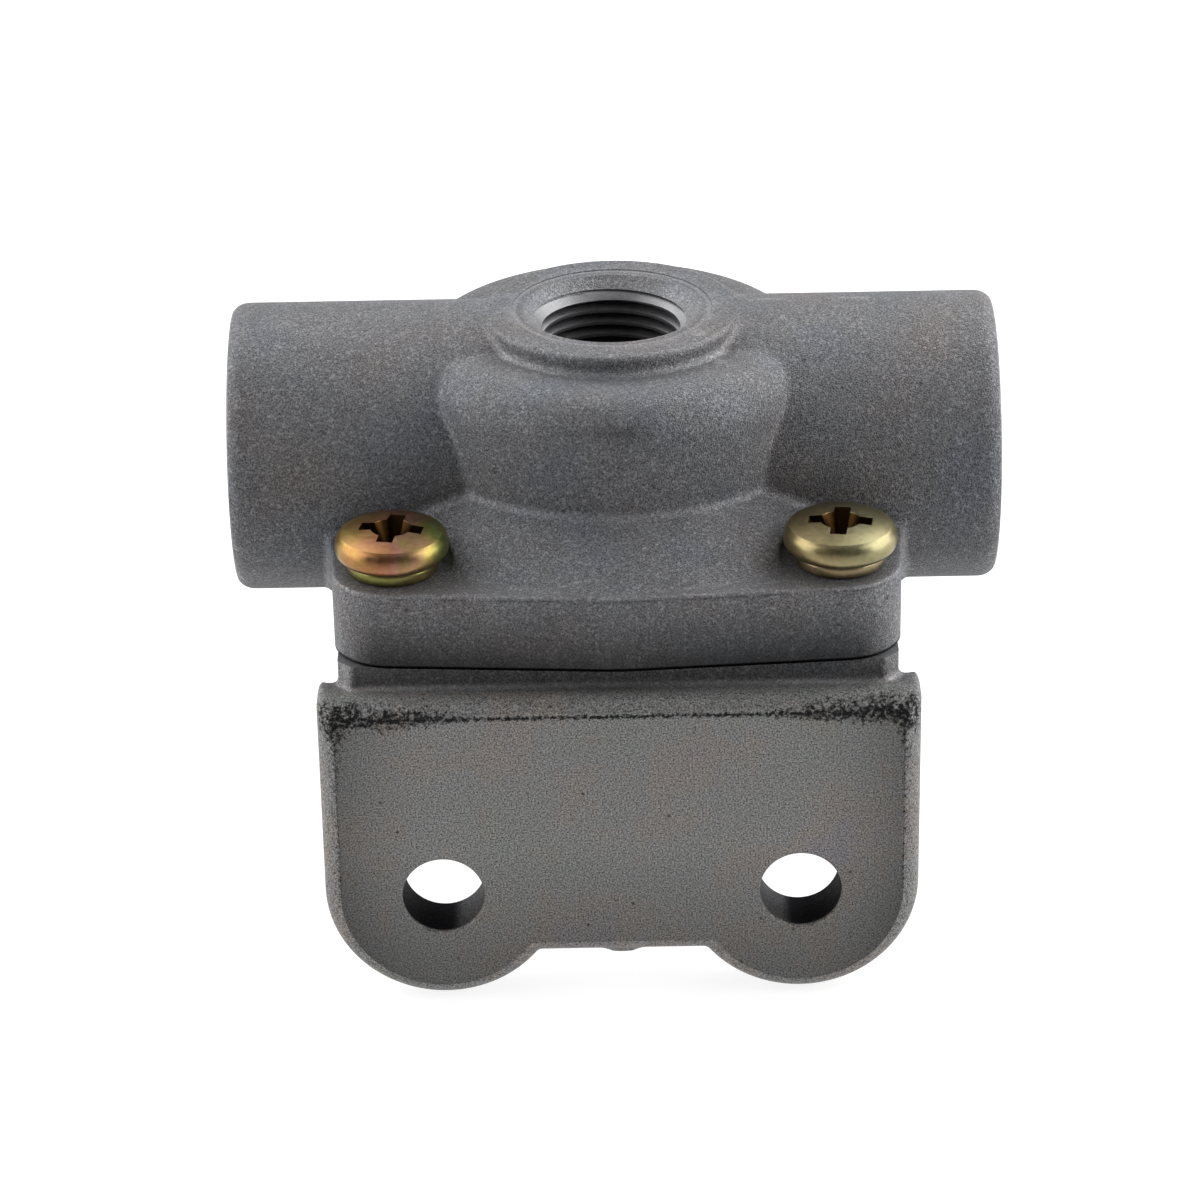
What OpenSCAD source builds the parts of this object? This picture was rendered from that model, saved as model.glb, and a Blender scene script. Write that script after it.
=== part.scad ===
// Quick exhaust valve for an air line: a cast tee body, a square cover with the fixing
// bracket cast on its front edge, and a loose rubber diaphragm in the chamber between them.
// Origin: midway between the two bracket holes, on the bracket's fixing face.
// X runs along the delivery ports, +Y from the fixing face towards the valve, +Z up to the supply port.
// The body and the cover are drawn round the valve's own axis, with their joint face at height 0,
// and in_place() then sets them behind the bracket.

/* [Body casting] */
// Length over the ends of the two delivery arms
span = 82.3; // [72:0.1:99]
// Outside diameter of a delivery arm
arm_d = 31.3; // [28:0.1:37.6]
// Round on the outer edge of an arm's end
arm_edge_r = 1.4; // [0.5:0.1:2]
// Height of the delivery axis above the joint face
delivery_z = 12.35; // [11:0.05:14.9]
// Diameter of the upright barrel
barrel_d = 44; // [38:0.1:52.8]
// Height of the barrel's shoulder above the joint face
barrel_top = 25.8; // [23:0.1:27]
// Round on the barrel's shoulder
shoulder_r = 4.6; // [2:0.1:5]
// Fillet in the corner between the barrel and the cone on the flange
barrel_fillet_r = 1.2; // [1:0.1:3.5]
// Diameter of the boss round the supply port
boss_d = 27.6; // [24:0.1:30]
// Height of the boss above the joint face
boss_top = 27.9; // [27.2:0.1:33.4]
// Round on the boss's edge and in its root
boss_edge_r = 0.5; // [0.3:0.1:1]

/* [Flange] */
// Distance between neighbouring screws, both ways
screw_pitch = 47; // [40:0.1:56.4]
// Radius of the flange's corner, centred on its screw
flange_corner_r = 6.45; // [5.5:0.05:7.7]
// How far each side of the flange bows out at its middle
flange_bow = 1.65; // [0.4:0.05:2.5]
// Thickness of the flange at the screws
flange_t = 8.5; // [7.2:0.1:10.2]
// Rise of the coned top of the flange up to the barrel
dome_rise = 4.6; // [3:0.1:5.6]
// Ledge left outside the cone at the middle of a side
dome_ledge = 1; // [0.5:0.1:2]

/* [Ports] */
// Diameter of a port's bore, at the crests of its pipe thread
port_bore_d = 14.8; // [12.4:0.1:16.6]
// Depth of the supply port's bore from the boss
supply_depth = 14; // [12:0.1:14.6]
// Diameter of the passage below the supply bore
supply_passage_d = 12; // [10:0.1:12.3]
// Diameter of the machined ring round a port's mouth
spot_d = 21.7; // [20.4:0.1:23]
// Depth of that ring
spot_depth = 0.2; // [0.1:0.05:0.5]
// Width of the chamfer at a port's mouth
mouth_chamfer = 2.1; // [0.5:0.1:2.4]

/* [Valve chamber] */
// Wall between the screw holes and the seal groove
seal_wall = 2.9; // [2:0.1:3.5]
// Width of the seal groove in the cover
groove_w = 3.4; // [3:0.1:4]
// Depth of the seal groove
groove_depth = 2; // [1.6:0.1:2.4]
// Diameter of the seal ring's cord before it is squeezed
seal_cord_d = 2.8; // [2.6:0.1:3]
// Land between the seal groove and the chamber
seal_land = 1.2; // [0.8:0.1:2]
// Height of the inlet seat above the joint face
inlet_seat_z = 3; // [2.6:0.1:3.6]
// Width of the lip of each seat
seat_w = 1.7; // [1.2:0.1:2.2]
// Height of the exhaust seat above the cover's floor
exhaust_seat_h = 2; // [1.4:0.1:2.4]
// Bore of the exhaust seat
exhaust_seat_d = 12; // [10:0.1:13]
// Opening from the delivery bore down into the ring round the inlet seat
delivery_drop = 2.5; // [1.5:0.1:3]

/* [Diaphragm] */
// Travel of the diaphragm from the exhaust seat to the inlet seat
lift = 1.5; // [1:0.1:1.8]
// Thickness of the diaphragm's hub
hub_t = 4; // [3.4:0.1:4.4]
// Thickness of the diaphragm's rim
rim_t = 2.2; // [1.8:0.1:2.6]
// Thickness of the web between hub and rim
web_t = 1.5; // [1.2:0.1:1.8]
// How far the hub and the rim reach past their seats
seat_lap = 2; // [1.2:0.1:2.4]

/* [Cover and bracket] */
// Thickness of the cover
cover_t = 8.2; // [7.4:0.1:9.8]
// How far the cover's sides stand inside the flange's corners
cover_inset = 0.45; // [0.3:0.05:1]
// Chamfer on the cover's upright corners
cover_chamfer = 1.5; // [0.5:0.1:3]
// Depth of the exhaust port's mouth below the joint face
exhaust_drop = 20; // [18:0.1:24]
// Depth of the exhaust port's bore
exhaust_depth = 10; // [8:0.1:10.8]
// Diameter of the boss round the exhaust port
exhaust_boss_d = 26; // [24:0.1:30]
// Thickness of the bracket plate
plate_t = 6.35; // [5.3:0.05:7.6]
// How far the bracket's fixing face stands in front of the cover
plate_reach = 3.5; // [3:0.1:4.4]
// Depth of the bracket's top edge below the joint face
plate_top_drop = 2.75; // [2.3:0.05:3.3]
// Depth of the bracket holes below the joint face
hole_drop = 25.85; // [22:0.05:31]
// Distance between the bracket holes
hole_pitch = 38.1; // [31.8:0.1:45.7]
// Diameter of a bracket hole
hole_d = 8.73; // [7.3:0.01:10.4]
// Radius of the bracket's ears, centred on the holes
ear_r = 12.7; // [10.6:0.1:15.2]
// Depth of the straight edge between the ears below the holes
notch_drop = 7.7; // [6.4:0.1:9.2]
// Radius of the casting gate's stub in the middle of that edge
gate_r = 4; // [2:0.1:5]
// How far the stub stands below that edge
gate_stub = 0.6; // [0.3:0.1:1]
// Round on the bracket's front edges
plate_edge_r = 2.2; // [0.8:0.1:2.6]
// Round on the bracket's back edges
plate_back_r = 1.2; // [0.5:0.1:1.5]
// Fillet between the bracket and the underside of the cover
plate_fillet_r = 3; // [1:0.1:5]

/* [Screws and washers] */
// Thread diameter of a cover screw
screw_d = 6.35; // [5.3:0.05:7.6]
// Length of a cover screw under its head
screw_length = 15.9; // [15:0.1:17]
// Diameter of the screw's pan head
head_d = 12; // [11:0.1:12.4]
// Height of the pan head to the edge of its domed top
head_side_h = 2.9; // [2.5:0.1:3.4]
// Rise of the domed top above that edge
head_dome_h = 0.7; // [0.4:0.1:1]
// Radius of the rounded side of the head
head_round_r = 1.9; // [1.8:0.1:2.4]
// Diameter of the cross recess
recess_d = 7.1; // [6:0.1:7.6]
// Width of each slot of the recess
recess_w = 1.35; // [1:0.05:1.6]
// Depth of the recess
recess_depth = 2.6; // [2:0.1:2.9]
// Outside diameter of a lock washer
washer_d = 10; // [9:0.1:11]
// Thickness of a lock washer
washer_t = 1.4; // [1.2:0.1:2]
// Gap at the split of a lock washer
washer_split = 0.7; // [0.4:0.1:1.2]

/* [Clearances] */
// Gap at a seat when the diaphragm has reached it
seat_gap = 0.1; // [0.05:0.05:0.2]
// Gap round the diaphragm's rim for the air
rim_gap = 2.4; // [1.6:0.1:3]
// Gap round a screw in its hole through the flange
screw_gap = 0.2; // [0.1:0.05:0.4]
// Gap round a screw in the cover, and inside a washer
thread_gap = 0.05; // [0.03:0.01:0.1]
// Gap round a screw head in its pocket
pocket_gap = 0.3; // [0.2:0.05:0.6]

/* [Hidden] */
CORNERS = ["front_left", "front_right", "back_left", "back_right"];
SIDES = [[-1, -1], [1, -1], [-1, 1], [1, 1]]; // direction of each corner from the valve's axis
SCREWS = [for (corner = CORNERS) str("screw_", corner)];
WASHERS = [for (corner = CORNERS) str("lock_washer_", corner)];

$fn = 96;
past = 1; // how far a cut runs out of the solid
screw_turns = [-11, -7.5, 24, 61]; // how far each screw was driven round, by corner
washer_turns = [100, 75, 250, 310]; // where the split of each washer came to lie, by corner
split_lean = 35; // slant of a washer's split

// Outlines
arm_r = arm_d / 2;
barrel_r = barrel_d / 2;
boss_r = boss_d / 2;
screw_half = screw_pitch / 2;
flange_half = screw_half + flange_corner_r;
flange_mid = flange_half + flange_bow;
dome_r = flange_mid - dome_ledge;
cover_half = flange_half - cover_inset;
plate_front = cover_half + plate_reach;
plate_half = hole_pitch / 2 + ear_r;
plate_top = hole_drop - plate_top_drop;

// Ports, seats and chamber, from the screws inwards
bore_r = port_bore_d / 2;
mouth_r = bore_r + mouth_chamfer;
screw_r = screw_d / 2;
screw_circle_r = screw_half * sqrt(2);
groove_outer_r = screw_circle_r - screw_r - screw_gap - seal_wall;
groove_inner_r = groove_outer_r - groove_w;
groove_mid_r = (groove_outer_r + groove_inner_r) / 2;
chamber_r = groove_inner_r - seal_land;
diaphragm_r = chamber_r - rim_gap;
inlet_outer_r = diaphragm_r - seat_lap;
inlet_inner_r = inlet_outer_r - seat_w;
ring_top = delivery_z - bore_r + delivery_drop;
exhaust_inner_r = exhaust_seat_d / 2;
exhaust_outer_r = exhaust_inner_r + seat_w;

// Heights of the diaphragm at rest, on the exhaust seat
diaphragm_top = inlet_seat_z - seat_gap - lift;
exhaust_seat_z = diaphragm_top - hub_t - seat_gap;
chamber_floor = exhaust_seat_z - exhaust_seat_h;

// Moves the valve from its own axis and joint face to its place behind the bracket
module in_place() {
  translate([0, plate_front, hole_drop]) children();
}

// Moves a piece to the screw axis of one corner
module at_screw(corner) {
  translate([SIDES[corner].x * screw_half, SIDES[corner].y * screw_half, 0]) children();
}

// Places a copy on each screw axis
module at_screws() {
  for (corner = [0 : 3]) at_screw(corner) children();
}

// Right half of a profile, spun about the Z axis
module spun() {
  rotate_extrude() children();
}

// Rectangle with its own round at the two corners of each end, standing on the Y axis
module rounded_bar(width, height, low_r, high_r) {
  polygon([
    [low_r, 0], [width - low_r, 0], [width, low_r], [width, height - high_r],
    [width - high_r, height], [high_r, height], [0, height - high_r], [0, low_r],
  ]);
  for (x = [low_r, width - low_r]) translate([x, low_r]) circle(low_r);
  for (x = [high_r, width - high_r]) translate([x, height - high_r]) circle(high_r);
}

// Half section of a round bar along Y, with both end edges rounded
module rod_section(r, length, low_r, high_r) {
  intersection() {
    translate([-r, 0]) rounded_bar(2 * r, length, low_r, high_r);
    square([r, length]);
  }
}

// Angle from a corner's diagonal to the normal of the flange sides beside it
side_turn = acos((flange_mid - flange_corner_r) / screw_circle_r);

function corner_point(r, centre_r, diagonal, turn) =
  centre_r * [cos(diagonal), sin(diagonal)] + r * [cos(diagonal + turn), sin(diagonal + turn)];

// Rounded square whose sides run straight from the corner rounds to the bowed middle
module flange_outline() {
  circle(flange_mid);
  for (diagonal = [45 : 90 : 315])
    translate(screw_circle_r * [cos(diagonal), sin(diagonal)]) circle(flange_corner_r);
  polygon([
    for (diagonal = [45 : 90 : 315])
      each [
        corner_point(flange_mid, 0, diagonal, -side_turn),
        corner_point(flange_corner_r, screw_circle_r, diagonal, -side_turn),
        corner_point(flange_corner_r, screw_circle_r, diagonal, side_turn),
        corner_point(flange_mid, 0, diagonal, side_turn),
      ]
  ]);
}

// Fills the corner between an upright wall and the slope below it, the corner at the origin
module corner_fillet(r, slope) {
  reach = r * tan(45 - slope / 2);
  difference() {
    polygon([[-past, reach], [0, reach], [r, reach], reach * [cos(slope), -sin(slope)], [-past, -past]]);
    translate([r, reach]) circle(r);
  }
}

// Half section of the cone on the flange, the barrel with its rounded shoulder, and the boss
module barrel_section() {
  barrel_low = flange_t + dome_rise;
  shoulder = [barrel_r - shoulder_r, barrel_top - shoulder_r];
  edge = [boss_r - boss_edge_r, boss_top - boss_edge_r];
  polygon([
    [0, flange_t / 2], [dome_r, flange_t / 2], [dome_r, flange_t], [barrel_r, barrel_low],
    [barrel_r, shoulder.y], [shoulder.x, barrel_top], [boss_r, barrel_top],
    [boss_r, edge.y], [edge.x, boss_top], [0, boss_top],
  ]);
  translate(shoulder) circle(shoulder_r);
  translate(edge) circle(boss_edge_r);
  translate([barrel_r, barrel_low]) corner_fillet(barrel_fillet_r, atan2(dome_rise, dome_r - barrel_r));
  translate([boss_r, barrel_top]) corner_fillet(boss_edge_r, 0);
}

// Half section of the cut for a port's mouth: machined ring, chamfer and bore, mouth at height 0
module mouth_section(depth) {
  polygon([
    [0, past], [spot_d / 2, past], [spot_d / 2, -spot_depth], [mouth_r, -spot_depth],
    [bore_r, -spot_depth - mouth_chamfer], [bore_r, -depth], [0, -depth],
  ]);
}

// Half section of the body's chamber: ring round the inlet seat, the seat, and the way up to the supply
module body_chamber_section() {
  supply_floor = boss_top - supply_depth;
  polygon([
    [0, -past], [chamber_r, -past], [chamber_r, ring_top], [inlet_outer_r, ring_top],
    [inlet_outer_r, inlet_seat_z], [inlet_inner_r, inlet_seat_z], [inlet_inner_r, inlet_seat_z + seat_w],
    [supply_passage_d / 2, ring_top + seat_w], [supply_passage_d / 2, supply_floor + past],
    [0, supply_floor + past],
  ]);
}

module valve_body() {
  delivery_depth = span / 2 - inlet_outer_r - seal_land;
  color("#636468")
    difference() {
      union() {
        linear_extrude(flange_t) flange_outline();
        spun() barrel_section();
        // The arms, whose undersides hang past the joint face outside the flange
        difference() {
          translate([-span / 2, 0, delivery_z]) rotate([0, 90, 0])
            spun() rod_section(arm_r, span, arm_edge_r, arm_edge_r);
          translate([0, 0, -arm_d]) linear_extrude(arm_d) flange_outline();
          translate([0, 0, boss_top]) cylinder(r = boss_r, h = arm_d);
        }
      }
      spun() body_chamber_section();
      translate([0, 0, boss_top]) spun() mouth_section(supply_depth);
      for (side = [-1, 1])
        translate([side * span / 2, 0, delivery_z]) rotate([0, side * 90, 0])
          spun() mouth_section(delivery_depth);
      at_screws() {
        translate([0, 0, -past]) cylinder(r = screw_r + screw_gap, h = flange_t + 2 * past);
        translate([0, 0, flange_t]) cylinder(r = head_d / 2 + pocket_gap, h = boss_top);
      }
    }
}

// Square with chamfered corners
module cover_outline() {
  straight = cover_half - cover_chamfer;
  polygon([
    [-straight, -cover_half], [straight, -cover_half], [cover_half, -straight], [cover_half, straight],
    [straight, cover_half], [-straight, cover_half], [-cover_half, straight], [-cover_half, -straight],
  ]);
}

// Half section of the cover's chamber: joint face, floor, exhaust seat and the way down to the exhaust
module cover_chamber_section() {
  polygon([
    [0, past], [chamber_r, past], [chamber_r, chamber_floor], [exhaust_outer_r, chamber_floor],
    [exhaust_outer_r, exhaust_seat_z], [exhaust_inner_r, exhaust_seat_z],
    [exhaust_inner_r, exhaust_depth - exhaust_drop - past], [0, exhaust_depth - exhaust_drop - past],
  ]);
}

// Bracket plate, drawn straight in the part's frame: two round ears, the plate above them, and the edge
// between them with the stub of the casting gate
module bracket_plate() {
  for (side = [-1, 1])
    translate([side * hole_pitch / 2, 0, 0]) rotate([-90, 0, 0])
      spun() rod_section(ear_r, plate_t, plate_edge_r, plate_back_r);
  intersection() {
    rotate([0, -90, 0]) linear_extrude(2 * plate_half, center = true)
      translate([-notch_drop, 0]) rounded_bar(plate_top + notch_drop, plate_t, plate_edge_r, plate_back_r);
    union() {
      translate([-plate_half, 0, 0]) linear_extrude(plate_top)
        rounded_bar(2 * plate_half, plate_t, plate_edge_r, plate_back_r);
      translate([-hole_pitch / 2, 0, -notch_drop]) cube([hole_pitch, plate_t, notch_drop]);
    }
  }
  translate([0, plate_edge_r, gate_r - notch_drop - gate_stub]) rotate([-90, 0, 0])
    cylinder(r = gate_r, h = plate_t - plate_edge_r - plate_back_r);
}

// Fillet along the corner between the back of the bracket and the underside of the cover
module bracket_fillet() {
  r = plate_fillet_r;
  translate([0, plate_t, hole_drop - cover_t]) rotate([0, -90, 0])
    linear_extrude(2 * (cover_half - cover_chamfer), center = true)
      difference() {
        translate([-r, -past]) square([r + past, r + past]);
        translate([-r, r]) circle(r);
      }
}

module cover_bracket() {
  color("#67676a")
    difference() {
      union() {
        in_place() {
          translate([0, 0, -cover_t]) linear_extrude(cover_t) cover_outline();
          translate([0, 0, -exhaust_drop])
            spun() rod_section(exhaust_boss_d / 2, exhaust_drop - past, arm_edge_r, arm_edge_r);
        }
        bracket_plate();
        bracket_fillet();
      }
      in_place() {
        spun() cover_chamber_section();
        translate([0, 0, -exhaust_drop]) rotate([180, 0, 0]) spun() mouth_section(exhaust_depth);
        spun() translate([groove_inner_r, -groove_depth]) square([groove_w, groove_depth + past]);
        at_screws()
          translate([0, 0, -cover_t - past]) cylinder(r = screw_r + thread_gap, h = cover_t + 2 * past);
      }
      for (side = [-1, 1])
        translate([side * hole_pitch / 2, -past, 0]) rotate([-90, 0, 0])
          cylinder(d = hole_d, h = plate_t + 2 * past);
    }
}

// Rubber disc: a thick hub over the exhaust seat, a thin web, and a round-edged rim under the inlet seat
module diaphragm() {
  hub_r = exhaust_outer_r + seat_lap;
  rim_r = rim_t / 2;
  web_low = diaphragm_top - web_t;
  color("#1d1d1f")
    spun() {
      polygon([
        [0, diaphragm_top - hub_t], [hub_r, diaphragm_top - hub_t], [hub_r + hub_t - web_t, web_low],
        [inlet_inner_r - rim_t + web_t, web_low], [inlet_inner_r, diaphragm_top - rim_t],
        [diaphragm_r - rim_r, diaphragm_top - rim_t], [diaphragm_r - rim_r, diaphragm_top],
        [0, diaphragm_top],
      ]);
      translate([diaphragm_r - rim_r, diaphragm_top - rim_r]) circle(rim_r);
    }
}

// Seal ring squeezed flat between the groove's floor and the body's joint face
module cover_seal() {
  color("#151515")
    spun() translate([groove_mid_r, -groove_depth / 2])
      intersection() {
        circle(d = seal_cord_d);
        square([seal_cord_d, groove_depth], center = true);
      }
}

// Half section of a pan head, underside at height 0: rounded side, crisp edge and domed top
module head_section() {
  round_x = head_d / 2 - head_round_r;
  round_z = head_side_h / 2;
  edge_r = round_x + sqrt(head_round_r ^ 2 - round_z ^ 2);
  dome_radius = (edge_r ^ 2 + head_dome_h ^ 2) / (2 * head_dome_h);
  square([edge_r, head_side_h]);
  intersection() {
    translate([round_x, round_z]) circle(head_round_r);
    square([head_d / 2, head_side_h]);
  }
  intersection() {
    translate([0, head_side_h + head_dome_h - dome_radius]) circle(dome_radius);
    square([edge_r, head_side_h + head_dome_h]);
  }
}

// Cross recess: two crossed slots that taper to the driver's tip, mouth at height 0
module cross_recess() {
  tip_d = 2 * recess_w;
  cut_h = recess_depth + head_dome_h;
  intersection() {
    translate([0, 0, -recess_depth]) cylinder(d1 = tip_d, d2 = recess_d, h = cut_h);
    for (turn = [0, 90])
      rotate(turn) cube([2 * recess_d, recess_w, 3 * recess_depth], center = true);
  }
  translate([0, 0, -recess_depth]) cylinder(d1 = recess_w, d2 = recess_d / 2, h = cut_h);
}

// Cover screw, its head's underside on the lock washer
module screw(turn) {
  head_low = flange_t + washer_t;
  color("#b8a45c")
    translate([0, 0, head_low]) rotate(turn)
      difference() {
        union() {
          spun() head_section();
          translate([0, 0, -screw_length]) cylinder(r = screw_r, h = screw_length + past);
        }
        translate([0, 0, head_side_h + head_dome_h]) cross_recess();
      }
}

// Split spring washer, flat as it is under a tight screw
module lock_washer(turn) {
  color("#a8964f")
    translate([0, 0, flange_t]) rotate(turn)
      difference() {
        cylinder(d = washer_d, h = washer_t);
        translate([0, 0, -past]) cylinder(r = screw_r + thread_gap, h = washer_t + 2 * past);
        translate([washer_d / 2, 0, washer_t / 2]) rotate([split_lean, 0, 0])
          cube([washer_d, washer_split, 4 * washer_t], center = true);
      }
}

in_place() valve_body();
cover_bracket();
in_place() diaphragm();
in_place() cover_seal();
for (i = [0 : 3]) {
  in_place() at_screw(i) screw(screw_turns[i]);
  in_place() at_screw(i) lock_washer(washer_turns[i]);
}
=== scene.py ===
import math

import bpy
import numpy as np
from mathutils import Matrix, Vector


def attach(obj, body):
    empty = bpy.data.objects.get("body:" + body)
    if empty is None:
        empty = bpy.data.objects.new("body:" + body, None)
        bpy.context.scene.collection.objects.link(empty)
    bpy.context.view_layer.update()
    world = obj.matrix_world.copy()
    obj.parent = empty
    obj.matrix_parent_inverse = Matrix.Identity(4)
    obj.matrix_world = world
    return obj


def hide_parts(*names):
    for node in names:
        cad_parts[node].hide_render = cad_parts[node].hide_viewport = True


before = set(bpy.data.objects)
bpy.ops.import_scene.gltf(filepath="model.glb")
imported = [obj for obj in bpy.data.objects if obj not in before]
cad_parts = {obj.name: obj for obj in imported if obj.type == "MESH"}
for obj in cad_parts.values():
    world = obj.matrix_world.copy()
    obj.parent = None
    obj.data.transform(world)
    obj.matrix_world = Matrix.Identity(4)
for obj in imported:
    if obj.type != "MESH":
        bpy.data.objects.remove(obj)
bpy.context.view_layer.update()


# Valve body: the tee that the air lines screw into, on the square flange that closes the valve's chamber.
# It is a shot-blasted die casting, with its joint face, screw holes and threaded ports machined afterwards.
# Four screws through the flange's corners hold it on the cover.

# Every piece is shaped in millimetres from the valve's axis and the joint face, and is moved into the
# part's frame when it is finished. Materials read the part's frame.
valve_axis = (0, 33.0, 25.85)
screw_half = 23.5
corners = {"front_left": (-screw_half, -screw_half), "front_right": (screw_half, -screw_half),
           "back_left": (-screw_half, screw_half), "back_right": (screw_half, screw_half)}
flange_t = 8.5
flange_corner_r = 6.45
flange_bow_r = 31.57
flange_side_from = 28.5
cone_r = 30.6
cone_top = 13.1
barrel_r = 22
shoulder_z = 25.8
shoulder_round = 4.6
boss_r = 13.9
boss_round = 0.4
boss_top = 27.98
delivery_z = 12.35
arm_r = 15.65
arm_round = 2.0
arm_cast_end = 41.6
arm_end = 41.149
arm_root_x = 30.3
arm_root_r = 16
arm_clear_y = 17.5
pocket_r = 6.3
pocket_floor = 8.6
screw_hole_r = 3.375
chamber_r = 22.36
chamber_top = 7.45
seat_in_r = 16.26
seat_out_r = 17.96
seat_z = 3
inlet_cone_low = 4.7
inlet_cone_top = 9.15
passage_r = 6
crest_r = 7.4
root_r = 8.53
pitch = 1.411
mouth_r = 9.5
mouth_depth = 2.2
ring_r = 10.85
ring_depth = 0.1
supply_depth = 14
delivery_depth = 21.99
joint_r = 31
thread_metal_r = 8.2
delivery_floor_x = 14
voxel = 0.3


def picked(piece):
    """Selects one piece alone, for the next operator."""
    bpy.ops.object.select_all(action="DESELECT")
    piece.select_set(True)
    bpy.context.view_layer.objects.active = piece


def laid(piece, at, tilt=(0, 0, 0), scale=(1, 1, 1)):
    """Moves a piece to its place and leaves it unturned and unscaled there."""
    picked(piece)
    piece.location = at
    piece.rotation_euler = [math.radians(a) for a in tilt]
    piece.scale = scale
    bpy.ops.object.transform_apply()
    return piece


def turned(name, rings, sides=96, at=(0, 0, 0), tilt=(0, 0, 0)):
    """A closed solid turned through (radius, height) rings about its own axis, then laid in its place."""
    bpy.ops.object.select_all(action="DESELECT")
    first_r, first_z = rings[0]
    bpy.ops.mesh.primitive_circle_add(vertices=sides, radius=first_r, fill_type="NGON",
                                      location=(0, 0, first_z))
    piece = bpy.context.object
    piece.name = name
    bpy.ops.object.transform_apply()
    bpy.ops.object.mode_set(mode="EDIT")
    bpy.ops.mesh.select_all(action="SELECT")
    for (r, z), (next_r, next_z) in zip(rings, rings[1:]):
        bpy.ops.mesh.extrude_region_move(TRANSFORM_OT_translate={"value": (0, 0, next_z - z)})
        bpy.ops.transform.resize(value=(next_r / r, next_r / r, 1), center_override=(0, 0, next_z))
    bpy.ops.mesh.select_all(action="SELECT")
    bpy.ops.mesh.normals_make_consistent(inside=False)
    bpy.ops.object.mode_set(mode="OBJECT")
    return laid(piece, at, tilt)


def arc(r, z, radius, start, end, steps=8):
    """Rings along a round in a turned piece's section, with angles in degrees from straight outwards."""
    angles = [math.radians(start + (end - start) * i / steps) for i in range(steps + 1)]
    return [(r + radius * math.cos(a), z + radius * math.sin(a)) for a in angles]


def joined(name, pieces):
    """The pieces as one mesh."""
    bpy.ops.object.select_all(action="DESELECT")
    for piece in pieces:
        piece.select_set(True)
    bpy.context.view_layer.objects.active = pieces[0]
    bpy.ops.object.join()
    pieces[0].name = name
    return pieces[0]


def worked(piece, kind, **settings):
    """Puts one modifier on a piece and applies it."""
    picked(piece)
    step = piece.modifiers.new(kind.lower(), kind)
    for key, value in settings.items():
        setattr(step, key, value)
    bpy.ops.object.modifier_apply(modifier=step.name)


def cut(piece, *tools):
    """Takes each tool's solid out of a piece and throws the tool away."""
    for tool in tools:
        worked(piece, "BOOLEAN", operation="DIFFERENCE", solver="MANIFOLD", object=tool)
        bpy.data.objects.remove(tool)


def flange_prism(low, high, grow=0.0):
    """The flange's outline, a rounded square with bowed sides, as an upright prism."""
    bow_r, corner_r = flange_bow_r + grow, flange_corner_r + grow
    posts = [turned("post", [(bow_r, low), (bow_r, high)], 240)]
    posts += [turned("post", [(corner_r, low), (corner_r, high)], 64, (x, y, 0)) for x, y in corners.values()]
    prism = joined("flange_prism", posts)
    bpy.ops.object.mode_set(mode="EDIT")
    bpy.ops.mesh.select_all(action="SELECT")
    bpy.ops.mesh.convex_hull()
    bpy.ops.mesh.normals_make_consistent(inside=False)
    bpy.ops.object.mode_set(mode="OBJECT")
    return prism


def listed(items, field, kind, width=1):
    """One property of a mesh's vertices, edges or faces as an array, with a row for each."""
    values = np.empty(len(items) * width, kind)
    items.foreach_get(field, values)
    return values.reshape(-1, width) if width > 1 else values


def softened(piece, rounds, fillet_rounds, crisp=None):
    """Rounds a casting's edges a little and its hollow corners more, save where a test keeps them crisp."""
    worked(piece, "SMOOTH", factor=0.5, iterations=rounds)
    mesh = piece.data
    points = listed(mesh.vertices, "co", np.float32, 3)
    outward = listed(mesh.vertex_normals, "vector", np.float32, 3)
    ends = listed(mesh.edges, "vertices", np.int32, 2)
    near, far = ends.T
    links = np.bincount(ends.ravel(), minlength=len(points))

    def around(values):
        """Each vertex's mean over its neighbours."""
        total = np.zeros_like(values)
        np.add.at(total, near, values[far])
        np.add.at(total, far, values[near])
        return total / (links[:, None] if values.ndim > 1 else links)

    hollow = np.clip(((around(points) - points) * outward).sum(1) / (0.05 * voxel), 0, 1)
    for _ in range(8):
        hollow = 0.4 * hollow + 0.6 * around(hollow)
    weight = np.clip(4 * hollow - 0.2, 0, 1)
    if crisp:
        weight[crisp(*points.T)] *= 0.2
    group = piece.vertex_groups.new(name="hollow_corners")
    for level in range(1, 11):
        group.add(np.flatnonzero(np.round(weight * 10) == level).tolist(), level / 10, "REPLACE")
    worked(piece, "SMOOTH", factor=0.5, iterations=fillet_rounds, vertex_group="hollow_corners")
    piece.vertex_groups.clear()


def thread_tool(name, tip_r, open_r, half, step, low, turns, at=(0, 0, 0), tilt=(0, 0, 0)):
    """The V of a thread, run up a helix from a starting height."""
    bpy.ops.object.select_all(action="DESELECT")
    bpy.ops.mesh.primitive_circle_add(vertices=3, radius=1, fill_type="NOTHING")
    tool = bpy.context.object
    tool.name = name
    for corner, (r, z) in zip(tool.data.vertices, [(tip_r, 0), (open_r, half), (open_r, -half)]):
        corner.co = (r, 0, z + low)
    worked(tool, "SCREW", axis="Z", angle=2 * math.pi, screw_offset=step, iterations=turns,
           steps=72, render_steps=72)
    bpy.ops.object.mode_set(mode="EDIT")
    bpy.ops.mesh.select_all(action="SELECT")
    bpy.ops.mesh.fill_holes(sides=0)
    bpy.ops.mesh.select_all(action="SELECT")
    bpy.ops.mesh.normals_make_consistent(inside=False)
    bpy.ops.object.mode_set(mode="OBJECT")
    return laid(tool, at, tilt)


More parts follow.
